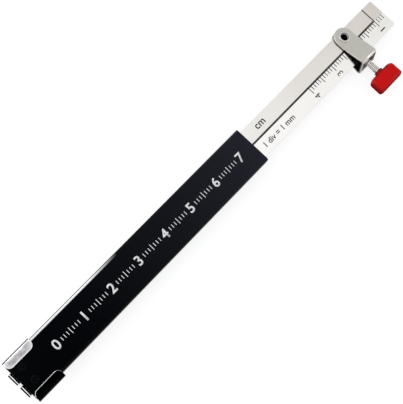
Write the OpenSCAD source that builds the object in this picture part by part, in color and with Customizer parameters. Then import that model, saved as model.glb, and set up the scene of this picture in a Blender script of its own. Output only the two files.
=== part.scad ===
// High-low weld gauge: two flat steel strips side by side, a clamp near their tips and a pocket sheath.
// Working frame: x runs along the strips from the mouth of the sheath (0) to the tips,
// y runs across them (index strip on +y), and z is measured from the middle of the strips' thickness.

/* [Strips] */
// Length of the strips that stands out of the sheath
exposed_l = 58.5; // [54:0.5:80]
// Width of one strip
strip_w = 4.87; // [4:0.01:6]
// Thickness of the strips
strip_t = 1.5; // [1:0.1:2]
// Running gap between the two strips
strip_gap = 0.06; // [0.04:0.01:0.3]
// Small cut at the outer corner of each tip
tip_cut = 0.35; // [0.2:0.05:0.6]
// Length of each strip inside the sheath, to the end of its toe
hidden_l = 78; // [60:1:79]
// Length of the slim leg that goes through the root gap
leg_l = 30; // [15:1:40]
// Width of the slim leg
leg_w = 1.4; // [1:0.1:2]
// Radius where the leg meets the full width
leg_fillet = 1.6; // [0.5:0.1:2]
// How far the toe hooks out beyond the leg
toe_reach = 1.2; // [0.6:0.1:2]
// Height of the toe along the leg
toe_h = 1; // [0.6:0.1:2]

/* [Scale] */
// Distance of the zero-offset mark from the tips
mark_from_tip = 4.1; // [3.5:0.1:6]
// Spacing of the graduations
tick_pitch = 1; // [0.8:0.1:1.2]
// Number of graduations on the tip side of the mark
ticks_ahead = 3; // [0:1:3]
// Number of graduations on the sheath side of the mark
ticks_behind = 30; // [10:5:30]
// Width of an etched line
tick_w = 0.24; // [0.1:0.02:0.3]
// Depth of an etched line
tick_depth = 0.05; // [0.03:0.01:0.1]
// Length of a short graduation
tick_short = 1.5; // [1:0.1:2]
// Length of every fifth graduation
tick_long = 2.25; // [2:0.05:3]
// Width of the index line on the other strip
index_line_w = 0.4; // [0.2:0.05:0.6]

/* [Clamp bracket] */
// Distance of the bracket's middle from the tips
bracket_from_tip = 14.9; // [12:0.1:25]
// Width of the bracket's sheet along the strips
bracket_w = 6; // [5:0.1:8]
// Thickness of the bracket's sheet
bracket_t = 0.8; // [0.5:0.05:1]
// Distance of the rivet from the outer edge of the index strip
rivet_inset = 2.1; // [2:0.05:2.6]
// Distance from the inner edge of the index strip to the line where the plates open out
flare_inset = 0.7; // [0.5:0.05:1]
// Angle at which each plate opens out from the strips
flare_angle = 15; // [10:1:20]
// Room between the edge of the scale strip and the inside of the web
web_room = 1.1; // [0.8:0.1:2]
// Outer radius of the two folds at the web
fold_r = 1.1; // [1.05:0.05:1.6]
// How much further out the back fold of the web lies than the front one
web_lean = 0.8; // [0:0.1:2]

/* [Rivet] */
// Outer radius of the hollow rivet
rivet_r = 1.45; // [1.2:0.05:1.7]
// Radius of the hole through the rivet
rivet_bore_r = 1.05; // [0.7:0.05:1.15]
// How far the rolled rim of the rivet reaches past its hole
rim_reach = 0.3; // [0.2:0.05:0.5]
// Thickness of the rolled rim
rim_t = 0.3; // [0.1:0.05:0.4]

/* [Thumb screw] */
// Radius of the screw
screw_r = 1; // [0.8:0.05:1.5]
// Length of screw that shows between the web and the grip
screw_show = 4; // [3:0.1:8]
// Gap between the screw's tip and the strip it locks
screw_tip_gap = 0.1; // [0.05:0.01:0.2]
// Chamfer at the screw's tip
screw_chamfer = 0.3; // [0.1:0.05:0.5]
// Depth to which the screw is moulded into the grip
screw_depth = 4.2; // [2.5:0.1:4.5]
// Width of the grip
grip_w = 9.6; // [8:0.1:14]
// Height of the grip along the screw
grip_h = 5.6; // [5:0.1:8]
// Thickness of the grip
grip_t = 3.2; // [3.2:0.1:5]
// Radius of the two grip corners beside the screw
grip_near_r = 2.2; // [1:0.1:2.4]
// Radius of the two outer grip corners
grip_far_r = 1.3; // [0.6:0.1:2]
// Radius of the grip's face edges
grip_edge_r = 1.35; // [0.3:0.05:1.5]
// Height of the grip's collar round the screw
collar_h = 0.6; // [0.3:0.1:1.5]
// Thickness of the collar's wall
collar_wall = 0.35; // [0.25:0.05:1]

/* [Sheath] */
// Length of the sheath
sheath_l = 88; // [88:1:120]
// Thickness of the side walls
sheath_side = 0.8; // [0.6:0.05:2]
// Thickness of the front and back walls
sheath_wall = 1.05; // [0.6:0.05:2]
// Length of the solid closed end
sheath_end = 6; // [4.5:0.5:6]
// Radius of the sheath's long edges
sheath_edge_r = 0.8; // [0.2:0.05:0.9]

/* [Pocket clip] */
// Thickness of the clip's sheet
clip_t = 0.4; // [0.3:0.05:0.8]
// Room between the sheath and the fold of the ear on the screw side
clip_room = 0.7; // [0.2:0.1:1.5]
// Length of the folded ears
ear_l = 8.9; // [7:0.1:14]
// How far each ear reaches over the front of the sheath
ear_reach = 2.3; // [1.5:0.1:3]
// Radius of the ears' inner corners
ear_r = 1.5; // [0.5:0.1:1.5]
// Distance from the closed end to the start of the return bend
bend_lead = 0.3; // [0.1:0.05:1]
// Inner radius of the return bend
bend_r = 0.25; // [0.2:0.05:0.6]
// Width of each of the two straps at the bend
strap_w = 3.4; // [2:0.1:4]
// Width of the slot between the straps
strap_slot = 0.9; // [0.5:0.1:2]
// Length of the slot along the tongue
slot_l = 5; // [2:0.5:8]
// Length of the tongue on the back
tongue_l = 38; // [25:1:60]
// Width of the tongue at its free end
tongue_tip_w = 5; // [3:0.1:7]
// Length of the lip at the free end that leads a pocket's edge in
tongue_lip = 4; // [2:0.5:6]
// Gap left between the tongue and the sheath where they come closest
tongue_pinch = 0.1; // [0.05:0.05:0.3]

/* [Clip rivets] */
// Radius of the rivets' shanks
pin_r = 0.6; // [0.4:0.05:0.8]
// Radius of the rivets' heads
pin_head_r = 1; // [0.85:0.05:1.2]
// Height of the rivets' heads
pin_head_h = 0.2; // [0.1:0.05:0.5]
// Gap between a rivet's head and the ear beside it
pin_gap = 0.35; // [0.05:0.05:0.5]
// Distance of the rivets from the closed end
pin_inset = 3; // [2:0.1:4]

/* [Fits] */
// Room round the strips in the sheath
sheath_play = 0.3; // [0.2:0.05:0.5]
// Radial play of the screw in the web
screw_play = 0.05; // [0.03:0.01:0.1]
// Radial play of rivets and of the screw in the grip
rivet_play = 0.02; // [0.01:0.01:0.05]

/* [Hidden] */
$fn = 64;
cut = 1;  // overlap that lets a cutting shape pass clean through a face
tuck = 0.99;  // share of a fold's radius at which a flat face runs into it, so that the two cross clean

// Strips
half_gap = strip_gap / 2;
half_strip = strip_t / 2;
pair_half_w = half_gap + strip_w;
shoulder_x = leg_l - hidden_l;
mark_x = exposed_l - mark_from_tip;

// Clamp
clamp_x = exposed_l - bracket_from_tip;
rivet_y = pair_half_w - rivet_inset;
plate_top = half_strip + bracket_t;
flare_y = half_gap + flare_inset;
web_out = -(pair_half_w + web_room + bracket_t);
fold_run = (flare_y - fold_r * sin(flare_angle) - web_out - fold_r) / cos(flare_angle);
fold_z = plate_top + fold_run * sin(flare_angle) - fold_r * cos(flare_angle);
bracket_half_d = fold_z + fold_r;
back_run = flare_y - web_out - fold_r + web_lean;
back_rise = fold_z - plate_top;
back_angle = atan2(back_rise, back_run) + asin(fold_r / norm([back_run, back_rise]));
web_tilt = atan2(web_lean, 2 * fold_z);
grip_near = web_out - screw_show;
grip_far = grip_near - grip_h;
grip_mid = (grip_near - collar_h + grip_far) / 2;

// Sheath and clip
sheath_half_w = pair_half_w + sheath_play + sheath_side;
sheath_half_t = half_strip + sheath_play + sheath_wall;
clip_half_w = sheath_half_w + clip_t;
clip_half_t = sheath_half_t + clip_t;
tongue_top = -clip_half_t - 2 * bend_r;
tongue_bottom = tongue_top - clip_t;
bend_x = -sheath_l - bend_lead;
bend_out = bend_r + clip_t;
strap_half = strap_w + strap_slot / 2;
clip_y = -clip_room / 2;
pin_y = sheath_half_w - ear_reach - pin_gap - pin_head_r;

// The part stands with its box centred over the origin and its lowest face on the ground
low_x = bend_x - bend_out;
high_y = max(clip_half_w, rivet_y + bracket_w / 2);
low_z = min(tongue_bottom, -bracket_half_d);
middle = [(exposed_l + low_x) / 2, (high_y + grip_far) / 2, low_z];

module place() { translate(-middle) children(); }

// Extrudes an outline drawn in (y, z) along x, from x0 to x1
module along_x(x0, x1) {
    translate([x0, 0, 0]) rotate([90, 0, 90]) linear_extrude(x1 - x0) children();
}

// Extrudes an outline drawn in (x, y) through the thickness, from z0 to z1
module through_z(z0, z1) {
    translate([0, 0, z0]) linear_extrude(z1 - z0) children();
}

// Cylinder along y, from y0 up to y1
module rod_y(x, y0, y1, r) {
    translate([x, y0, 0]) rotate([-90, 0, 0]) cylinder(h = y1 - y0, r = r);
}

// Rectangle centred on the origin with true round corners
module round_box(half_w, half_h, r) {
    square([2 * half_w, 2 * (half_h - r)], center = true);
    square([2 * (half_w - r), 2 * half_h], center = true);
    for (sx = [-1, 1], sy = [-1, 1])
        translate([sx * (half_w - r), sy * (half_h - r)]) circle(r);
}

// Outline of one strip above the centre line: full width, cut tip corner, slim leg and hooked toe
module strip_outline() {
    inner = half_gap;
    outer = half_gap + strip_w;
    leg_edge = half_gap + leg_w;
    difference() {
        union() {
            polygon([[shoulder_x, inner], [exposed_l, inner], [exposed_l, outer - tip_cut],
                     [exposed_l - tip_cut, outer], [shoulder_x, outer]]);
            translate([-hidden_l, inner]) square([hidden_l + shoulder_x + cut, leg_w]);
            translate([-hidden_l, inner]) square([toe_h, leg_w + toe_reach]);
            translate([shoulder_x - leg_fillet, inner]) square([leg_fillet + cut, leg_w + leg_fillet]);
        }
        translate([shoulder_x - leg_fillet, leg_edge + leg_fillet]) circle(leg_fillet);
    }
}

module index_blade() {
    color("gainsboro") place() difference() {
        through_z(-half_strip, half_strip) strip_outline();
        translate([clamp_x, rivet_y, -half_strip - cut])
            cylinder(h = strip_t + 2 * cut, r = rivet_r + rivet_play);
        translate([mark_x - index_line_w / 2, 0, half_strip - tick_depth])
            cube([index_line_w, pair_half_w + cut, tick_depth + cut]);
    }
}

module scale_blade() {
    color("whitesmoke") place() difference() {
        through_z(-half_strip, half_strip) mirror([0, 1]) strip_outline();
        for (i = [-ticks_ahead : ticks_behind]) {
            length = i % 5 == 0 ? tick_long : tick_short;
            translate([mark_x - i * tick_pitch - tick_w / 2, -half_gap - length, half_strip - tick_depth])
                cube([tick_w, length + half_gap, tick_depth + cut]);
        }
    }
}

// Section of the bracket in (y, z): two flat plates that open out to a leaning web with round folds.
// The shell below is drawn twice, at the outside of the sheet and one thickness further in.
module bracket_section(inset) {
    r = fold_r - inset;
    flat_z = plate_top - inset;
    far_y = rivet_y + bracket_w;
    front = [web_out + fold_r, fold_z];
    back = front - [web_lean, 2 * fold_z];
    on_web = tuck * r * [-cos(web_tilt), sin(web_tilt)];
    polygon([[far_y, flat_z], [flare_y - inset * tan(flare_angle / 2), flat_z],
             front + tuck * r * [sin(flare_angle), cos(flare_angle)], front + on_web, back + on_web,
             back + tuck * r * [sin(back_angle), -cos(back_angle)],
             [flare_y - inset * tan(back_angle / 2), -flat_z], [far_y, -flat_z]]);
    translate(front) circle(r);
    translate(back) circle(r);
}

module clamp_bracket() {
    color("silver") place() difference() {
        intersection() {
            along_x(clamp_x - bracket_w / 2, clamp_x + bracket_w / 2) difference() {
                bracket_section(0);
                bracket_section(bracket_t);
            }
            through_z(-bracket_half_d - cut, bracket_half_d + cut) {
                translate([clamp_x, rivet_y]) circle(bracket_w / 2);
                translate([clamp_x - bracket_w / 2, web_out - web_lean - cut])
                    square([bracket_w, rivet_y - web_out + web_lean + cut]);
            }
        }
        translate([clamp_x, rivet_y, -bracket_half_d])
            cylinder(h = 2 * bracket_half_d, r = rivet_r + rivet_play);
        rod_y(clamp_x, web_out - web_lean - cut, web_out + bracket_t + cut, screw_r + screw_play);
    }
}

// Tube with a rolled rim at each end, turned as one section about the rivet's axis
module hollow_rivet() {
    rim_r = rivet_r + rim_reach;
    end_z = plate_top + rim_t;
    top = [[rivet_bore_r, end_z], [rim_r - rim_t / 2, end_z], [rim_r, plate_top], [rivet_r, plate_top]];
    below = [for (i = [len(top) - 1 : -1 : 0]) [top[i].x, -top[i].y]];
    color("dimgray") place() translate([clamp_x, rivet_y, 0])
        rotate_extrude() polygon(concat(top, below));
}

module thumb_screw() {
    tip = -pair_half_w - screw_tip_gap;
    tail = grip_near - screw_depth;
    color("silver") place() translate([clamp_x, tail, 0]) rotate([-90, 0, 0]) {
        cylinder(h = tip - tail - screw_chamfer, r = screw_r);
        translate([0, 0, tip - tail - screw_chamfer])
            cylinder(h = screw_chamfer, r1 = screw_r, r2 = screw_r - screw_chamfer);
    }
}

// Outline of the grip in (x, y), from the collar side at the top to the outer edge
module grip_outline() {
    half = grip_w / 2;
    top = grip_near - collar_h;
    for (side = [-1, 1]) {
        translate([side * (half - grip_near_r), top - grip_near_r]) circle(grip_near_r);
        translate([side * (half - grip_far_r), grip_far + grip_far_r]) circle(grip_far_r);
    }
    polygon([[half - grip_near_r, top], [half, top - grip_near_r], [half, grip_far + grip_far_r],
             [half - grip_far_r, grip_far], [grip_far_r - half, grip_far], [-half, grip_far + grip_far_r],
             [-half, top - grip_near_r], [grip_near_r - half, top]]);
}

module thumb_grip() {
    color("crimson") place() difference() {
        union() {
            intersection() {
                through_z(-grip_t / 2, grip_t / 2) translate([clamp_x, 0]) grip_outline();
                along_x(clamp_x - grip_w / 2, clamp_x + grip_w / 2) translate([grip_mid, 0])
                    round_box(grip_mid - grip_far, grip_t / 2, grip_edge_r);
                translate([clamp_x, grip_near, 0]) rotate([90, 0, 0]) linear_extrude(grip_h)
                    round_box(grip_w / 2, grip_t / 2, grip_edge_r);
            }
            rod_y(clamp_x, grip_near - collar_h - cut, grip_near, screw_r + collar_wall);
        }
        rod_y(clamp_x, grip_near - screw_depth, grip_near + cut, screw_r + rivet_play);
    }
}

module sheath() {
    color("#15161a") place() difference() {
        along_x(-sheath_l, 0) round_box(sheath_half_w, sheath_half_t, sheath_edge_r);
        along_x(sheath_end - sheath_l, cut)
            square([2 * (pair_half_w + sheath_play), 2 * (half_strip + sheath_play)], center = true);
        for (side = [-1, 1])
            translate([pin_inset - sheath_l, side * pin_y, -sheath_half_t - cut])
                cylinder(h = 2 * (sheath_half_t + cut), r = pin_r + rivet_play);
    }
}

// Plan of one ear and its side wall, seen from the front
module ear_outline() {
    inner = sheath_half_w - ear_reach;
    translate([-sheath_l, inner + ear_r]) square([ear_l, ear_reach - ear_r + clip_t + cut]);
    translate([ear_r - sheath_l, inner]) square([ear_l - 2 * ear_r, ear_reach]);
    for (x = [ear_r, ear_l - ear_r])
        translate([x - sheath_l, inner + ear_r]) circle(ear_r);
}

// Section of the clip in (y, z), set off by the room that its fold leaves on the screw side
module clip_section(sheet) {
    translate([clip_y, 0])
        round_box(sheath_half_w - clip_y + sheet, sheath_half_t + sheet, sheath_edge_r - rivet_play + sheet);
}

// Side view of the return bend and the tongue in (x, z)
module tongue_side() {
    x_end = tongue_l - sheath_l;
    x_pinch = x_end - tongue_lip;
    z_pinch = -sheath_half_t - tongue_pinch;
    lip_drop = (z_pinch - tongue_top) / 2;
    translate([bend_x, -clip_half_t]) square([bend_lead + ear_l / 2, clip_t]);
    difference() {
        translate([bend_x, -clip_half_t - bend_r]) circle(bend_out);
        translate([bend_x, -clip_half_t - bend_r]) circle(bend_r);
        translate([bend_x, tongue_bottom - cut]) square([bend_out + cut, 2 * (bend_out + cut)]);
    }
    polygon([[bend_x, tongue_top], [ear_l - sheath_l, tongue_top], [x_pinch, z_pinch],
             [x_end, z_pinch - lip_drop], [x_end, z_pinch - lip_drop - clip_t], [x_pinch, z_pinch - clip_t],
             [ear_l - sheath_l, tongue_bottom], [bend_x, tongue_bottom]]);
}

// Plan of the two straps and the tapering tongue
module tongue_outline() {
    x_end = tongue_l - sheath_l;
    tip_r = tongue_tip_w / 2;
    difference() {
        union() {
            polygon([[low_x - cut, -strap_half], [ear_l - sheath_l, -strap_half], [x_end - tip_r, -tip_r],
                     [x_end - tip_r, tip_r], [ear_l - sheath_l, strap_half], [low_x - cut, strap_half]]);
            translate([x_end - tip_r, 0]) circle(tip_r);
        }
        translate([low_x - 2 * cut, -strap_slot / 2])
            square([slot_l + bend_lead + bend_out + 2 * cut - strap_slot / 2, strap_slot]);
        translate([slot_l - sheath_l - strap_slot / 2, 0]) circle(strap_slot / 2);
    }
}

module pocket_clip() {
    color("lightsteelblue") place() difference() {
        union() {
            difference() {
                along_x(-sheath_l, ear_l - sheath_l) difference() {
                    clip_section(clip_t);
                    clip_section(0);
                }
                through_z(sheath_half_t - sheath_edge_r, clip_half_t + cut) difference() {
                    translate([-sheath_l - cut, -clip_half_w - clip_room - cut])
                        square([ear_l + 2 * cut, 2 * (clip_half_w + cut) + clip_room]);
                    ear_outline();
                    translate([0, 2 * clip_y]) mirror([0, 1]) ear_outline();
                }
            }
            translate([0, clip_y, 0]) intersection() {
                translate([0, strap_half + cut, 0]) rotate([90, 0, 0])
                    linear_extrude(2 * (strap_half + cut)) tongue_side();
                through_z(tongue_bottom - cut, -sheath_half_t) tongue_outline();
            }
        }
        for (side = [-1, 1])
            translate([pin_inset - sheath_l, side * pin_y, -clip_half_t - cut])
                cylinder(h = clip_t + 2 * cut, r = pin_r + rivet_play);
    }
}

module clip_rivets() {
    color("black") place() for (side = [-1, 1])
        translate([pin_inset - sheath_l, side * pin_y, 0]) {
            translate([0, 0, -clip_half_t]) cylinder(h = clip_half_t + sheath_half_t, r = pin_r);
            translate([0, 0, sheath_half_t]) cylinder(h = pin_head_h, r = pin_head_r);
        }
}

index_blade();
scale_blade();
clamp_bracket();
hollow_rivet();
thumb_screw();
thumb_grip();
sheath();
pocket_clip();
clip_rivets();
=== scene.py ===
# %% [markdown]
# # A weld gauge, dressed in Blender
# The gauge is two flat steel strips that slide beside each other, a folded clamp with a red thumb screw,
# and a black sheath with a pocket clip. CAD already made every solid at its real size. This lesson loads
# those solids as a fixed frame and gives them what CAD leaves out: finishes, ink, soft edges and a thread.

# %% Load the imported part
import math

import bmesh
import bpy
from mathutils import Matrix, Vector


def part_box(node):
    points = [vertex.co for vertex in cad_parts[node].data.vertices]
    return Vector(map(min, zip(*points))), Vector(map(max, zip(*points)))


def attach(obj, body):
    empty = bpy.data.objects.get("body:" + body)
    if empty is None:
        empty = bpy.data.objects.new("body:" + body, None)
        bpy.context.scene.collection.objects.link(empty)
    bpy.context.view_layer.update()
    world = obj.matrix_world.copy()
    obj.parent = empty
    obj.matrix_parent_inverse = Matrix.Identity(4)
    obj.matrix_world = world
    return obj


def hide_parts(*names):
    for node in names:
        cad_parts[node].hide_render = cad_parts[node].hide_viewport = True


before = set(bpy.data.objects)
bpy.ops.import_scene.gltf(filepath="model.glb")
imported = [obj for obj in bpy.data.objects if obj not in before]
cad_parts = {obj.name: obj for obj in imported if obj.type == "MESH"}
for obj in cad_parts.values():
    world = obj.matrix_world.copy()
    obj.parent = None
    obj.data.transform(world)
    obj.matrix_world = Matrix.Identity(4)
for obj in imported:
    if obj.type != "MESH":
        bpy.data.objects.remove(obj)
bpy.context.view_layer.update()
MM = 0.001
print("nodes:", ", ".join(sorted(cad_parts)))

# %% [markdown]
# Every place below is measured from the boxes of the CAD nodes, so that ink and trim follow the part when a
# size changes. Typing the coordinates again would be shorter, but would come loose with the next change.

# %% Measure the pieces
def corners(box):
    """The low and the high corner of a box, as vectors that can be added and halved."""
    return [Vector(corner) for corner in box]

strip_low, strip_high = corners(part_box("scale_blade"))
index_low, index_high = corners(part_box("index_blade"))
sheath_low, sheath_high = corners(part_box("sheath"))
clip_low, clip_high = corners(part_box("pocket_clip"))
screw_low, screw_high = corners(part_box("thumb_screw"))
grip_low, grip_high = corners(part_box("thumb_grip"))
clamp_low, clamp_high = corners(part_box("clamp_bracket"))
rivet_low, rivet_high = corners(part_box("hollow_rivet"))
print("the scale strip is", round((strip_high.x - strip_low.x) / MM, 2), "mm long")

# %% Name the places that the finishes need
tip_x, mouth_x, closed_x = strip_high.x, sheath_high.x, sheath_low.x
strip_top, sheath_top = strip_high.z, sheath_high.z
strip_mid_z = (strip_low.z + strip_high.z) / 2
seam_y = (strip_high.y + index_low.y) / 2
sheath_mid_y = (sheath_low.y + sheath_high.y) / 2
rivet_axis = (rivet_low + rivet_high) / 2
screw_axis = (screw_low + screw_high) / 2
mark_one_x = tip_x - 4.1 * MM
print("strips end at x", round(tip_x / MM, 2), "mm and enter the sheath at", round(mouth_x / MM, 2), "mm")

# %% [markdown]
# The camera was worked out from the photograph: the millimetre marks on the scale give the size, and the
# strip edges run together with distance, which gives the lens. It looks down from the sheath's closed end,
# so the strips lean away. The lens is in millimetres on a 36 mm sensor across the longer side.

# %% Set the camera
camera_data = bpy.data.cameras.new("photo_camera")
camera_data.lens = 84.653
camera_data.sensor_width = 36
camera_data.clip_start = 0.01
camera = bpy.data.objects.new("photo_camera", camera_data)
camera.location = (-0.079377, -0.013217, 0.248016)
camera.rotation_euler = [math.radians(turn) for turn in (14.8519, -8.5625, -47.3617)]
bpy.context.collection.objects.link(camera)
bpy.context.scene.camera = camera
bpy.context.scene.view_settings.view_transform = "Standard"
print("camera height above the floor", round(camera.location.z / MM), "mm")

# %% [markdown]
# Finishes are node trees. Wiring them by hand hides the sums, so one small class wraps an output socket and
# turns Python's operators into Math nodes. A mask is then written as it is spoken: here and not there, with
# a comparison for a hard border and a slope between two places for a soft one.

# %% A socket that does sums
class Tap:
    """An output socket. Sums on it add Math nodes to its finish."""

    def __init__(self, finish, socket):
        self.finish, self.socket = finish, socket

    def maths(self, operation, *values):
        return self.finish.node("ShaderNodeMath", {"operation": operation}, dict(enumerate(values)))

    def __add__(self, other):
        return self.maths("ADD", self, other)

    def __sub__(self, other):
        return self.maths("SUBTRACT", self, other)

    def __rsub__(self, other):
        return self.maths("SUBTRACT", other, self)

    def __mul__(self, other):
        return self.maths("MULTIPLY", self, other)

    def __pow__(self, other):
        return self.maths("POWER", self, other)

    def __gt__(self, other):
        return self.maths("GREATER_THAN", self, other)

    def __lt__(self, other):
        return self.maths("LESS_THAN", self, other)

    __radd__, __rmul__ = __add__, __mul__

    def at_least(self, low):
        return self.maths("MAXIMUM", self, low)

    def away(self, centre):
        """Distance from a place along one axis."""
        return self.maths("ABSOLUTE", self - centre)

    def reach(self, other):
        """Length of the arrow with these two sides."""
        return self.maths("SQRT", self * self + other * other)

    def pick(self, yes, no):
        """One number where this is 1, the other where it is 0."""
        return self * (yes - no) + no

    def between(self, low, high):
        """0 below low, 1 above high, a straight slope between."""
        return self.finish.node("ShaderNodeMapRange", {"clamp": True}, {0: self, 1: low, 2: high})

# %% [markdown]
# A second class holds one material and adds any node that isn't a sum. It starts with the Object coordinates,
# which are metres in the part's own frame, because every object stays at the origin. That lets a finish be
# told by the same measured places as the shapes, with no unwrapping.

# %% A material that grows node by node
class Finish:
    """One material, or the world, with its shader; set() takes constants and feed() takes what varies."""

    def __init__(self, name, world=None):
        self.material = world or bpy.data.materials.new(name)
        self.material.use_nodes = True
        self.tree = self.material.node_tree
        self.shader = self.tree.nodes["Background" if world else "Principled BSDF"]
        self.place = self.node("ShaderNodeTexCoord", {}, {}, out="Object")
        axes = self.node("ShaderNodeSeparateXYZ", {}, {0: self.place}).socket.node.outputs
        self.x, self.y, self.z = (Tap(self, axis) for axis in axes)

    def node(self, kind, settings, sockets, out=0):
        """Adds a node of a kind, with its settings and with numbers or taps in its sockets."""
        made = self.tree.nodes.new(kind)
        for key, value in settings.items():
            setattr(made, key, value)
        for key, value in sockets.items():
            if isinstance(value, Tap):
                self.tree.links.new(value.socket, made.inputs[key])
            else:
                made.inputs[key].default_value = value
        return Tap(self, made.outputs[out])

    def noise(self, per_metre, detail=3.0, stretch=(1, 1, 1)):
        """Cloudy values round 0.5, with so many clouds to the metre."""
        where = self.node("ShaderNodeMapping", {}, {"Vector": self.place, "Scale": stretch})
        return self.node("ShaderNodeTexNoise", {}, {"Vector": where, "Scale": per_metre, "Detail": detail})

    def mix(self, share, first, second):
        """The first colour where the share is 0, the second where it is 1."""
        first, second = ((*c, 1) if isinstance(c, tuple) else c for c in (first, second))
        return self.node("ShaderNodeMix", {"data_type": "RGBA"}, {0: share, 6: first, 7: second}, out=2)

    def bump(self, height, metres):
        return self.node("ShaderNodeBump", {}, {"Height": height, "Distance": metres, "Strength": 1.0})

    def by_ray(self, soft, seen):
        """Shows one shader to the camera and to mirrors, and lights everything else with the other."""
        kinds = ("Is Camera Ray", "Is Glossy Ray", "Is Transmission Ray")
        rays = [self.node("ShaderNodeLightPath", {}, {}, out=kind) for kind in kinds]
        looks = rays[0].at_least(rays[1]).at_least(rays[2])
        return self.node("ShaderNodeMixShader", {}, {0: looks, 1: soft, 2: seen})

    def drawn(self):
        """The finish's own shader, as a tap."""
        return Tap(self, self.shader.outputs[0])

    def show(self, shader):
        """Makes a shader the one that is drawn."""
        surface = next(node for node in self.tree.nodes if "Output" in node.name).inputs["Surface"]
        self.tree.links.new(shader.socket, surface)

    def set(self, **constants):
        for key, value in constants.items():
            self.shader.inputs[key.replace("_", " ")].default_value = value

    def feed(self, **taps):
        for key, tap in taps.items():
            self.tree.links.new(tap.socket, self.shader.inputs[key.replace("_", " ")])

# %% [markdown]
# A CAD node arrives in one plain colour. Its slot is emptied and takes the finish, and the mesh stays as it is.

# %% Dress a CAD node
def dress(node, finish):
    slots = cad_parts[node].data.materials
    slots.clear()
    slots.append(finish.material)
    print(node, "wears", finish.material.name)

# %% [markdown]
# The strips are satin stainless: fine grain runs along their length, so the noise that drives roughness and
# bump is stretched more than a hundredfold that way. The graduations are cut 0.05 mm deep in the solid, so
# anything just under the top face is the floor of a mark and gets black fill there. What lies deeper is a
# wall or the underside, painted a darker, less metallic grey as shade. The steel is painted paler at the mouth
# and duller towards the tip, as a painted reflection. A black line of painted shade marks the dark gap along
# the seam, up to the first mark, and the steel is painted darker as shade where the sheath covers it.

# %% Strip steel
def strip_finish(name, pale, dull, fill):
    grain_grey, sheath_shade_grey, wall_shade_grey = (0.42, 0.41, 0.40), (0.60, 0.59, 0.575), (0.42, 0.41, 0.39)
    steel = Finish(name)
    grain = steel.noise(6000, 2, stretch=(0.006, 1, 1))
    cloud = steel.noise(160, 4)
    # Painted reflection: the colour fades from pale at the mouth to dull at the tip, standing for the steel's
    # sheen.
    reflection_fade_to_tip = steel.x.between(mouth_x, tip_x)
    metal = steel.mix(reflection_fade_to_tip * 0.7 + cloud * 0.3, pale, dull)
    metal = steel.mix(grain.between(0.52, 0.75) * 0.16, metal, grain_grey)
    # Painted shade: the steel inside the sheath is darkened.
    sheath_shade = 1 - steel.x.between(mouth_x - 18 * MM, mouth_x - MM)
    metal = steel.mix(sheath_shade, metal, sheath_shade_grey)
    mark = (steel.z < strip_top - 0.02 * MM) * (steel.z > strip_top - 0.09 * MM)
    # Painted shade: the walls and the underside take a darker, less metallic grey.
    wall = steel.z < strip_top - 0.12 * MM
    metal = steel.mix(mark, steel.mix(wall, metal, wall_shade_grey), fill)
    # Painted shade: a black line along the seam stands for the dark gap between the strips.
    seam_gap_shade = 1 - steel.y.away(seam_y).between(0.25 * MM, 0.33 * MM)
    up_to_mark = 1 - (steel.x - mark_one_x).between(-0.3 * MM, 0)
    steel.feed(Base_Color=steel.mix(seam_gap_shade * up_to_mark, metal, (0.004, 0.004, 0.004)))
    steel.feed(Roughness=0.08 + grain * 0.09 + cloud * 0.04, Metallic=1 - (mark + wall) * 0.8)
    steel.feed(Normal=steel.bump(grain, 0.004 * MM))
    steel.set(Specular_IOR_Level=0.1)
    return steel

black_mark, brown_mark = (0.02, 0.02, 0.02), (0.12, 0.105, 0.09)
dress("scale_blade", strip_finish("scale_strip_steel", (1.0, 0.99, 0.98), (0.78, 0.765, 0.72), black_mark))
dress("index_blade", strip_finish("index_strip_steel", (0.90, 0.89, 0.86), (0.60, 0.56, 0.51), brown_mark))

# %% [markdown]
# The clamp is folded nickel-plated sheet, greyer than the strips, with the faint clouding that plating gets
# from handling. Its front fold is painted pale as a painted highlight, and round the screw the web is painted
# dark brown as shade and the red grip's reflection. Inside, the sheet is painted dark as the shade between its
# leaves. The inside is told from the outside by the middle of the sheet: the two leaves lie flat on the
# strips as far as a knee, and then open out to the web, which leans.

# %% Plated clamp: inside and outside
plate = Finish("nickel_plate")
half_sheet = 0.4 * MM
front_flare, back_flare = (math.tan(math.radians(angle)) for angle in (15, 13.4))
lean_of_web = 0.188
past_knee = (seam_y + 0.73 * MM - plate.y).at_least(0)
flare = (plate.z > strip_mid_z).pick(front_flare, back_flare)
between_leaves = plate.z.away(strip_mid_z) < strip_top + half_sheet - strip_mid_z + past_knee * flare
behind_web = plate.y > clamp_low.y + 2 * half_sheet + (plate.z - strip_mid_z) * lean_of_web
# Painted shade: the space between the leaves is darkened.
inside_shade = between_leaves * behind_web * (plate.y < index_high.y - 0.3 * MM)
print("the leaves open by", round(front_flare, 3), "and", round(back_flare, 3), "past the knee")

# %% Plated clamp: colours
cloud = plate.noise(700, 5)
scratch = plate.noise(2500, 2, stretch=(1, 0.05, 1))
plated = plate.mix(cloud, (0.53, 0.52, 0.48), (0.44, 0.43, 0.395))
# Painted highlight: the front fold is lightened where a lamp would glint on the bend.
web_end_y = clamp_low.y + 1.3 * MM
near_web = 1 - plate.y.between(web_end_y - 0.2 * MM, web_end_y)
fold = (plate.z > clamp_high.z - 0.75 * MM) * near_web
plated = plate.mix(fold, plated, (0.86, 0.85, 0.82))
# Painted shade: round the screw the web is darkened brown, for shadow and the red grip's reflection.
from_screw = (plate.x - screw_axis.x).reach(plate.z - screw_axis.z)
screw_shade = (1 - from_screw.between(1.3 * MM, 2.3 * MM)) * (plate.y < web_end_y)
plated = plate.mix(screw_shade * 0.9, plated, (0.075, 0.05, 0.042))
plate.feed(Base_Color=plate.mix(inside_shade, plated, (0.035, 0.033, 0.032)))
plate.feed(Roughness=0.22 + cloud * 0.10 + scratch * 0.08, Normal=plate.bump(scratch, 0.003 * MM))
plate.set(Metallic=1.0)
dress("clamp_bracket", plate)
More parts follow.
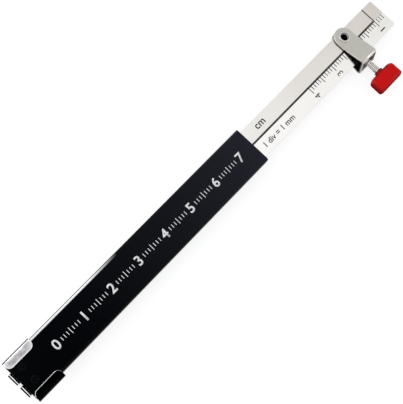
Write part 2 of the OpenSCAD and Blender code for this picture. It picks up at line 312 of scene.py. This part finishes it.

# %% [markdown]
# The hollow rivet is rolled steel. Its bore is painted black as the shade in the hole, and just under its lip
# a pale band on the bore's wall is a painted highlight, which seen at a slant shows as a pale crescent on the
# far side of the hole.

# %% Hollow rivet
rivet = Finish("rolled_rivet_steel")
cloud = rivet.noise(1500, 4)
from_axis = (rivet.x - rivet_axis.x).reach(rivet.y - rivet_axis.y)
lip_inner_r, lip_outer_r, wall_r = 1.2 * MM, 1.26 * MM, 1.08 * MM
# Painted shade: the bore is black, with no gloss.
bore_shade = 1 - from_axis.between(lip_inner_r, lip_outer_r)
# Painted highlight: a pale, non-metal band on the bore's wall just under the lip.
near_top = rivet.z.between(rivet_high.z - 0.5 * MM, rivet_high.z - 0.4 * MM)
under_lip = rivet.z < rivet_high.z - 0.07 * MM
wall_highlight = (from_axis < wall_r) * near_top * under_lip
rim_steel = rivet.mix(cloud, (0.61, 0.605, 0.57), (0.51, 0.505, 0.475))
rim_and_bore_shade = rivet.mix(bore_shade, rim_steel, (0.006, 0.006, 0.006))
rivet.feed(Base_Color=rivet.mix(wall_highlight, rim_and_bore_shade, (0.96, 0.96, 0.95)))
rivet.feed(Roughness=0.28 + cloud * 0.15, Metallic=1 - bore_shade)
rivet.set(Specular_IOR_Level=0.0)
dress("hollow_rivet", rivet)

# %% [markdown]
# The sheath is smooth black vinyl with a slight blue cast, painted greyer towards its mouth as a painted
# reflection. Its gloss is broken by very faint waviness, and the long edge away from the screw carries a
# painted pale highlight towards the closed end.

# %% Black vinyl
vinyl = Finish("black_vinyl")
wave = vinyl.noise(90, 2)
grain = vinyl.noise(3000, 3)
# Painted highlight: a pale band along the far edge, towards the closed end.
highlight_starts = vinyl.x.between(closed_x + 6 * MM, closed_x + 8 * MM)
highlight_ends = vinyl.x.between(closed_x + 30 * MM, closed_x + 40 * MM)
outer_edge = vinyl.y.between(sheath_high.y - 0.85 * MM, sheath_high.y - 0.75 * MM)
edge_highlight = outer_edge * (vinyl.z > sheath_top - 0.24 * MM) * (highlight_starts * (1 - highlight_ends)) * (0.75 + wave * 0.5)
# Painted reflection: the black grows greyer towards the mouth.
sheen_towards_mouth = vinyl.x.between(closed_x, mouth_x)
black = vinyl.mix(sheen_towards_mouth ** 2.5, (0.0003, 0.0006, 0.0013), (0.015, 0.016, 0.023))
vinyl.feed(Base_Color=vinyl.mix(edge_highlight, black, (0.86, 0.86, 0.87)))
vinyl.feed(Roughness=0.16 + grain * 0.10 + edge_highlight * 0.3)
vinyl.feed(Normal=vinyl.bump(wave + grain * 0.02, 0.02 * MM))
vinyl.set(IOR=1.45, Specular_IOR_Level=0.05)
dress("sheath", vinyl)

# %% [markdown]
# The clip is bright spring sheet whose two ears lie on the sheath. Each ear is a rounded outline, so a place
# is on it when it lies within the ear's radius of a shorter, straight middle: that distance is the arrow from
# past_end and from the ear's inner edge, and it needs no drawing of the outline.

# %% Ears of the clip
sheet = Finish("bright_spring_sheet")
ear_r, ear_half, ear_wide, blur = 1.5 * MM, 4.45 * MM, 2.7 * MM, 0.06 * MM
past_end = (sheet.x.away(closed_x + ear_half) - (ear_half - ear_r)).at_least(0)
from_far_edge = sheet.y - (clip_high.y - ear_wide)
from_near_edge = (clip_low.y + ear_wide) - sheet.y
on_top = sheet.z > sheath_top - 0.1 * MM
round_corner = sheet.z > sheath_top - 0.8 * MM

def in_ear(from_edge, rim):
    """1 on an ear, a rim's width in from its rounded outline."""
    from_middle = past_end.reach((ear_r - from_edge).at_least(0))
    return (1 - from_middle.between(ear_r - rim - blur, ear_r - rim)) * (from_edge > 0)

print("each ear is", round(2 * ear_half / MM, 1), "by", round(ear_wide / MM, 1), "mm")

# %% [markdown]
# The ear on the far side is scuffed satin by the pocket, so it scatters the light, inside a rim painted pale
# as a highlight and an outer corner painted dark as a reflection. The ear on the screw side is painted black
# as far as its corner, as the dark reflection it shows, with a painted highlight line along its inner edge.
# The roots of the two straps are painted dark too, as dark reflection, and the walls stay bright.

# %% Bright clip
mottle = sheet.noise(900, 5)
wide_rim, thin_rim, edge_slack = 0.34 * MM, 0.1 * MM, 0.1 * MM
far_rim_end, far_corner_start, near_rim_end = 2.26 * MM, 2.3 * MM, 1.2 * MM
short_of_rim = 1 - from_far_edge.between(2.05 * MM, 2.15 * MM)
scuffed_ear = in_ear(from_far_edge, wide_rim) * short_of_rim * on_top
# Painted highlight: pale rims along the inner edges of the ears.
far_rim_highlight = (from_far_edge > -edge_slack) * (from_far_edge < far_rim_end) * on_top * (1 - scuffed_ear)
# Painted reflection: the far ear's outer corner is darkened.
far_corner_dark_reflection = (from_far_edge > far_corner_start) * round_corner
# Painted reflection: the screw-side ear is black as far as its corner.
near_ear_dark_reflection = in_ear(from_near_edge, thin_rim).at_least(from_near_edge > near_rim_end) * round_corner
near_rim_highlight = (from_near_edge > -edge_slack) * (from_near_edge < near_rim_end) * on_top * (1 - near_ear_dark_reflection)
near_rim_highlight = near_rim_highlight * (sheet.x < closed_x + 7.9 * MM)
# Painted reflection: the roots of the straps are darkened.
strap_root_dark_reflection = (sheet.x > clip_low.x + 0.55 * MM) * (sheet.x < closed_x + 0.3 * MM)
strap_root_dark_reflection = strap_root_dark_reflection * (sheet.y.away(sheath_mid_y) < 4 * MM)

scuffed = sheet.mix(mottle.between(0.35, 0.65), (0.565, 0.55, 0.575), (0.335, 0.32, 0.345))
metal = sheet.mix(scuffed_ear, (0.86, 0.85, 0.87), scuffed)
painted_dark_reflections = near_ear_dark_reflection.at_least(strap_root_dark_reflection).at_least(far_corner_dark_reflection)
metal = sheet.mix(painted_dark_reflections, metal, (0.0018, 0.0018, 0.0018))
pale = far_rim_highlight.at_least(near_rim_highlight)
sheet.feed(Base_Color=sheet.mix(pale, metal, (0.96, 0.96, 0.96)), Metallic=1 - pale * 0.9)
sheet.feed(Roughness=0.07 + scuffed_ear * (0.33 + mottle * 0.1))
sheet.feed(Normal=sheet.bump(mottle * scuffed_ear, 0.004 * MM))
dress("pocket_clip", sheet)

# %% [markdown]
# The clip's two rivets are black, with a little wear in their gloss.

# %% Black rivet heads
heads = Finish("black_rivet_heads")
wear = heads.noise(2500, 4)
heads.feed(Base_Color=heads.mix(wear.between(0.6, 0.8), (0.0004, 0.0006, 0.0012), (0.03, 0.03, 0.032)))
heads.feed(Roughness=0.12 + wear * 0.1)
heads.set(Specular_IOR_Level=0.12)
dress("clip_rivets", heads)

# %% [markdown]
# Sheet metal and moulded plastic never have knife edges, and the thin bright line on an edge is what makes
# them look real. A CAD mesh is loose triangles, so a Weld modifier joins them, a Decimate modifier turns flat
# patches of them into whole faces, and a Bevel then rounds only the edges that are sharper than its angle.
# All three stay live, so the CAD mesh itself is unchanged.

# %% Soft edges on the CAD nodes
def soften(node, width, segments=2):
    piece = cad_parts[node]
    weld = piece.modifiers.new("join_triangles", "WELD")
    weld.merge_threshold = 0.001 * MM
    flatten = piece.modifiers.new("whole_faces", "DECIMATE")
    flatten.decimate_type, flatten.angle_limit = "DISSOLVE", math.radians(0.5)
    bevel = piece.modifiers.new("soft_edges", "BEVEL")
    bevel.width, bevel.segments, bevel.limit_method = width, segments, "ANGLE"
    bevel.angle_limit = math.radians(40)
    bevel.harden_normals = True
    print(node, "edges rounded to", round(width / MM, 3), "mm")

soften("clamp_bracket", 0.12 * MM)
soften("pocket_clip", 0.14 * MM)
soften("hollow_rivet", 0.05 * MM)
soften("clip_rivets", 0.09 * MM, 3)
soften("sheath", 0.12 * MM)

# %% [markdown]
# New pieces are built as a bmesh, and all end the same way: outward normals, one finish, and a body to ride
# on, so that they move with the joints.

# %% Turn a bmesh into a piece
def finished(mesh, name, body, finish):
    """Turns a bmesh into a named piece that rides on a body."""
    bmesh.ops.recalc_face_normals(mesh, faces=mesh.faces)
    data = bpy.data.meshes.new(name)
    mesh.to_mesh(data)
    mesh.free()
    piece = bpy.data.objects.new(name, data)
    bpy.context.collection.objects.link(piece)
    data.materials.append(finish.material)
    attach(piece, body)
    print(name, "has", len(data.polygons), "faces and rides on", body)
    return piece

# %% [markdown]
# The thumb screw's shank is threaded. A thread is one pitch of its side view, spun about the axis and lifted
# one pitch a turn: the spin operator does both. Neighbouring turns meet edge to edge, so merging doubles
# closes the coil, and two plane cuts give flat ends to fill.

# %% Threaded shank
def cut_flat(mesh, at, normal):
    """Cuts off what lies past a plane and closes the end."""
    everything = mesh.verts[:] + mesh.edges[:] + mesh.faces[:]
    bmesh.ops.bisect_plane(mesh, geom=everything, dist=1e-8, plane_co=at, plane_no=normal, clear_outer=True)
    bmesh.ops.holes_fill(mesh, edges=[edge for edge in mesh.edges if edge.is_boundary], sides=0)

pitch, turn_steps = 0.4 * MM, 24
crest_r = (screw_high.x - screw_low.x) / 2
root_r = crest_r - 0.35 * pitch
turns = math.ceil((screw_high.y - screw_low.y) / pitch) + 2
side_view = [(root_r, 0), (root_r, 0.1), (crest_r, 0.32), (crest_r, 0.72), (root_r, 0.94), (root_r, 1)]
start_y = screw_low.y - pitch
coil = bmesh.new()
points = [coil.verts.new((screw_axis.x + r, start_y + along * pitch, screw_axis.z)) for r, along in side_view]
profile = [coil.edges.new(pair) for pair in zip(points, points[1:])]
bmesh.ops.spin(coil, geom=points + profile, cent=(screw_axis.x, 0, screw_axis.z), axis=(0, 1, 0),
               angle=math.tau * turns, steps=turn_steps * turns, dvec=(0, pitch / turn_steps, 0))
bmesh.ops.remove_doubles(coil, verts=coil.verts, dist=0.002 * MM)
cut_flat(coil, (0, screw_high.y, 0), (0, 1, 0))
cut_flat(coil, (0, screw_low.y, 0), (0, -1, 0))
print("the thread has", turns - 2, "turns of", round(pitch / MM, 2), "mm")

# %% [markdown]
# The thread's finish is bright plating on the crests and a darker brown down in the roots, told apart by the
# distance from the screw's axis. The coil is shaded smooth round its turns, and stays sharp where a flank
# meets a crest or a root.

# %% Screw plating
thread = Finish("plated_thread")
from_axis = (thread.x - screw_axis.x).reach(thread.z - screw_axis.z)
worn = thread.noise(2500, 3)
root_brown, bright_plating = (0.24, 0.20, 0.17), (0.96, 0.95, 0.92)
# The roots are a darker brown than the crests.
thread.feed(Base_Color=thread.mix(from_axis.between(root_r, crest_r), root_brown, bright_plating))
thread.feed(Roughness=0.18 + worn * 0.14)
thread.set(Metallic=1.0)
shank = finished(coil, "threaded_shank", "screw_body", thread)
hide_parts("thumb_screw")
shank.data.shade_smooth()
shank.data.set_sharp_from_angle(angle=math.radians(30))

# %% [markdown]
# The red grip is a small moulded paddle. The CAD solid has its outline and rounded faces, and a small bevel
# takes the last hard edges off. The colour is painted deeper at the edges, as shade on the rounded rim, and
# the faces carry the faint swirl of moulded plastic.

# %% Red grip
red = Finish("red_moulding")
swirl = red.noise(400, 4)
fine = red.noise(3500, 3)
neck = 0.6 * MM
paddle_y = (grip_low.y + grip_high.y - neck) / 2
# Painted shade: the red is darker towards the ends and sides of the paddle.
at_ends = red.x.away(screw_axis.x).between(3.9 * MM, 4.7 * MM)
at_sides = red.y.away(paddle_y).between(1.8 * MM, 2.4 * MM)
body_red = red.mix(swirl, (0.64, 0.003, 0.003), (0.54, 0.002, 0.003))
red.feed(Base_Color=red.mix(at_ends.at_least(at_sides) * 0.75, body_red, (0.16, 0.002, 0.003)))
red.feed(Roughness=0.16 + fine * 0.12, Normal=red.bump(fine, 0.004 * MM))
red.set(Specular_IOR_Level=0.10)
dress("thumb_grip", red)
soften("thumb_grip", 0.12 * MM)

# %% [markdown]
# Ink is never one even colour: each ink wears in patches to a second shade, and is rougher there.

# %% Two inks
def ink(name, colour, worn_colour, roughness):
    made = Finish(name)
    patch = made.noise(1800, 4)
    made.feed(Base_Color=made.mix(patch.between(0.55, 0.8), colour, worn_colour))
    made.feed(Roughness=roughness + patch * 0.2)
    made.set(Specular_IOR_Level=0.1)
    return made

ink_depth = 0.02 * MM
black_ink = ink("black_fill", (0.012, 0.012, 0.013), (0.05, 0.05, 0.05), 0.45)
white_ink = ink("white_print", (0.80, 0.80, 0.80), (0.62, 0.62, 0.63), 0.40)
print("ink stands", round(ink_depth / MM, 3), "mm thick")

# %% [markdown]
# Ink on the strips and the sheath is text made into thin solid letters. The text is measured after it becomes
# a mesh and scaled to the height on the real scale, because a font's size is not its height. The letters are
# sunk by half their depth, so that no two faces lie in one plane.

# %% Lettering helper
def inked(name, text, height, centre, turn, body, finish, fatter=0.0):
    """Flat letters, height high, centred at a point of a top face and turned in degrees."""
    curve = bpy.data.curves.new(name, "FONT")
    curve.body, curve.resolution_u, curve.offset = text, 6, fatter
    holder = bpy.data.objects.new(name + "_text", curve)
    bpy.context.collection.objects.link(holder)
    flat = bpy.data.meshes.new_from_object(holder.evaluated_get(bpy.context.evaluated_depsgraph_get()))
    bpy.data.objects.remove(holder)
    mesh = bmesh.new()
    mesh.from_mesh(flat)
    bmesh.ops.remove_doubles(mesh, verts=mesh.verts, dist=1e-5)
    xs, ys = [v.co.x for v in mesh.verts], [v.co.y for v in mesh.verts]
    scale = Matrix.Scale(height / (max(ys) - min(ys)), 4)
    to_middle = Matrix.Translation((-(max(xs) + min(xs)) / 2, -(max(ys) + min(ys)) / 2, 0))
    turned = Matrix.Rotation(math.radians(turn), 4, "Z")
    bmesh.ops.transform(mesh, matrix=Matrix.Translation(centre) @ turned @ scale @ to_middle, verts=mesh.verts)
    bmesh.ops.translate(mesh, vec=(0, 0, ink_depth / 2), verts=mesh.verts)
    bmesh.ops.solidify(mesh, geom=mesh.faces[:], thickness=ink_depth)
    return finished(mesh, name, body, finish)

# %% [markdown]
# The scale figures stand at the long centimetre marks, turned so that they read from the side. The figure 2
# is under the clamp until the scale strip slides. They are plain scale figures: the words that such gauges
# carry are left off, and only units stand in their place.

# %% Scale figures and units
figure_y, figure_tall, mark_spacing = seam_y - 3.55 * MM, 1.95 * MM, 9.9 * MM
for figure in (1, 2, 3, 4):
    spot = (mark_one_x - (figure - 1) * mark_spacing, figure_y, strip_top)
    stroke = 0.02 if figure == 1 else 0.0
    inked(f"scale_figure_{figure}", str(figure), figure_tall, spot, 90, "scale_body",
          black_ink, stroke)
unit_stroke = 0.014
spot = (mouth_x + 9 * MM, seam_y - 2.5 * MM, strip_top)
inked("scale_unit", "1 div = 1 mm", 1.7 * MM, spot, 0, "scale_body", black_ink, unit_stroke)
spot = (mouth_x + 6.5 * MM, seam_y + 2.6 * MM, strip_top)
inked("index_unit", "cm", 1.5 * MM, spot, 0, "index_body", black_ink, unit_stroke)

# %% [markdown]
# The sheath carries white print along its middle. A plain centimetre rule takes that place: one figure for
# each centimetre and short bars for the millimetres, all from one cube shape scaled to a bar. The bars next
# to a figure are left out, to give it room.

# %% Rule printed on the sheath
def rule_bars(first_x, count):
    bar_wide, long_bar, short_bar = 0.18 * MM, 1.9 * MM, 1.1 * MM
    mesh = bmesh.new()
    for step in range(count):
        if 2 <= step % 10 <= 8:
            tall = long_bar if step % 5 == 0 else short_bar
            size = Matrix.Diagonal((bar_wide, tall, ink_depth, 1))
            bar = Matrix.Translation((first_x + step * MM, sheath_mid_y, sheath_top)) @ size
            bmesh.ops.create_cube(mesh, size=1, matrix=bar)
    return finished(mesh, "rule_bars", "sheath_body", white_ink)

rule_start, rule_figure_tall, rule_stroke = mouth_x - 75.3 * MM, 2.85 * MM, 0.018
rule_bars(rule_start, 71)
for centimetre in range(8):
    spot = (rule_start + centimetre * 10 * MM, sheath_mid_y, sheath_top)
    inked(f"rule_figure_{centimetre}", str(centimetre), rule_figure_tall, spot, 0, "sheath_body",
          white_ink, rule_stroke)

# %% [markdown]
# The gauge lies on white. The floor is half its own soft glow and half a white that takes light, so that it
# is plain white in the open and keeps a faint shadow under the part. It is clear from below, so that the
# underside can be looked at too. The floor and the cards after it are flat sheets, which one helper makes.

# %% White floor
def flat_sheet(name, place, finish):
    """A square metre of one finish, sized and placed by a matrix."""
    mesh = bmesh.new()
    bmesh.ops.create_grid(mesh, x_segments=1, y_segments=1, size=0.5, matrix=place)
    data = bpy.data.meshes.new(name)
    mesh.to_mesh(data)
    mesh.free()
    piece = bpy.data.objects.new(name, data)
    bpy.context.collection.objects.link(piece)
    data.materials.append(finish.material)
    return piece

paper = Finish("white_paper")
paper.set(Base_Color=(0.30, 0.30, 0.30, 1), Roughness=0.9, Specular_IOR_Level=0.0)
paper.set(Emission_Color=(1, 1, 1, 1), Emission_Strength=0.80)
lit = paper.node("ShaderNodeBsdfDiffuse", {}, {"Color": (0.92, 0.92, 0.92, 1)})
from_above = paper.by_ray(lit, paper.drawn())
from_below = paper.node("ShaderNodeBsdfTransparent", {}, {})
below = paper.node("ShaderNodeNewGeometry", {}, {}, out="Backfacing")
paper.show(paper.node("ShaderNodeMixShader", {}, {0: below, 1: from_above, 2: from_below}))
floor = flat_sheet("floor", Matrix.Diagonal((6, 6, 1, 1)), paper)
print("floor is white above and clear below")

# %% [markdown]
# The world is white to the camera and to mirrors, and a plain level of soft light to everything else. One
# level for both would either grey the background or wash out the shapes.

# %% White world
bpy.context.scene.world = bpy.data.worlds.new("white_studio")
sky = Finish("white_studio", bpy.context.scene.world)
sky.set(Color=(0.97, 0.985, 1.0, 1), Strength=0.62)
white = sky.node("ShaderNodeBackground", {}, {"Color": (1, 1, 1, 1)})
sky.show(sky.by_ray(sky.drawn(), white))
print("world is white")

# %% [markdown]
# Polished metal shows what is round it, so an all-white room would leave it flat. Dark cards that only
# mirrors see draw its edges, as black flags do in a photo studio: one overhead, one past the closed end, and
# three that lie on the floor, past the clip and beside the shank. They are few and low, because a tall card
# would turn the strips black from the other sides.

# %% Dark cards
felt = Finish("dark_felt")
felt.set(Base_Color=(0.004, 0.004, 0.005, 1), Roughness=1.0, Specular_IOR_Level=0.0)

def card(name, place, turn, wide, tall, about="X"):
    """A card of a size in metres, turned in degrees about one axis."""
    turned = Matrix.Rotation(math.radians(turn), 4, about)
    flag = flat_sheet(name, Matrix.Translation(place) @ turned @ Matrix.Diagonal((wide, tall, 1, 1)), felt)
    flag.visible_camera = flag.visible_diffuse = flag.visible_shadow = flag.visible_transmission = False
    print(name, "is", round(wide, 4), "by", round(tall, 4), "m")

def lying_card(name, low_x, high_x, low_y, high_y):
    """A card just above the floor, between four places."""
    card(name, ((low_x + high_x) / 2, (low_y + high_y) / 2, 0.2 * MM), 0, high_x - low_x, high_y - low_y)

card("card_above", (-0.025, 0.005, 0.5), 0, 0.13, 0.13)
card("card_end", (-0.10, 0, 0.0125), 90, 0.025, 0.10, "Y")
lying_card("card_past_end", -0.2, clip_low.x, clip_low.y, clip_high.y)
lying_card("card_under_shank", 0.0575, 0.0725, -0.02, clamp_low.y - 0.9 * MM)
lying_card("card_beside_shank", 0.048, 0.0575, -0.02, clamp_low.y - 2.2 * MM)

# %% [markdown]
# Three soft lamps give shape. The key is wide, so that a strip that mirrors it is no brighter than the white
# room and keeps its marks. The side lamp grazes the sheath's edge with the painted highlight, and the small
# one finds the clamp's fold.

# %% Lamps
def lamp(name, watts, wide, tall, place, aim):
    """A soft lamp of a size in metres that points at a place."""
    data = bpy.data.lights.new(name, "AREA")
    data.shape, data.size, data.size_y, data.energy = "RECTANGLE", wide, tall, watts
    light = bpy.data.objects.new(name, data)
    light.location = place
    light.rotation_euler = (Vector(aim) - Vector(place)).to_track_quat("-Z", "Y").to_euler()
    bpy.context.collection.objects.link(light)
    print(name, "gives", watts, "W")

lamp("key", 1.05, 0.6, 0.6, (-0.25, 0.30, 0.40), (0, 0, 0))
lamp("side", 0.10, 0.12, 0.03, (-0.06, 0.20, 0.07), (-0.05, 0, 0))
lamp("fold", 0.15, 0.13, 0.13, (0.24, -0.23, 0.23), (0.06, 0, 0))
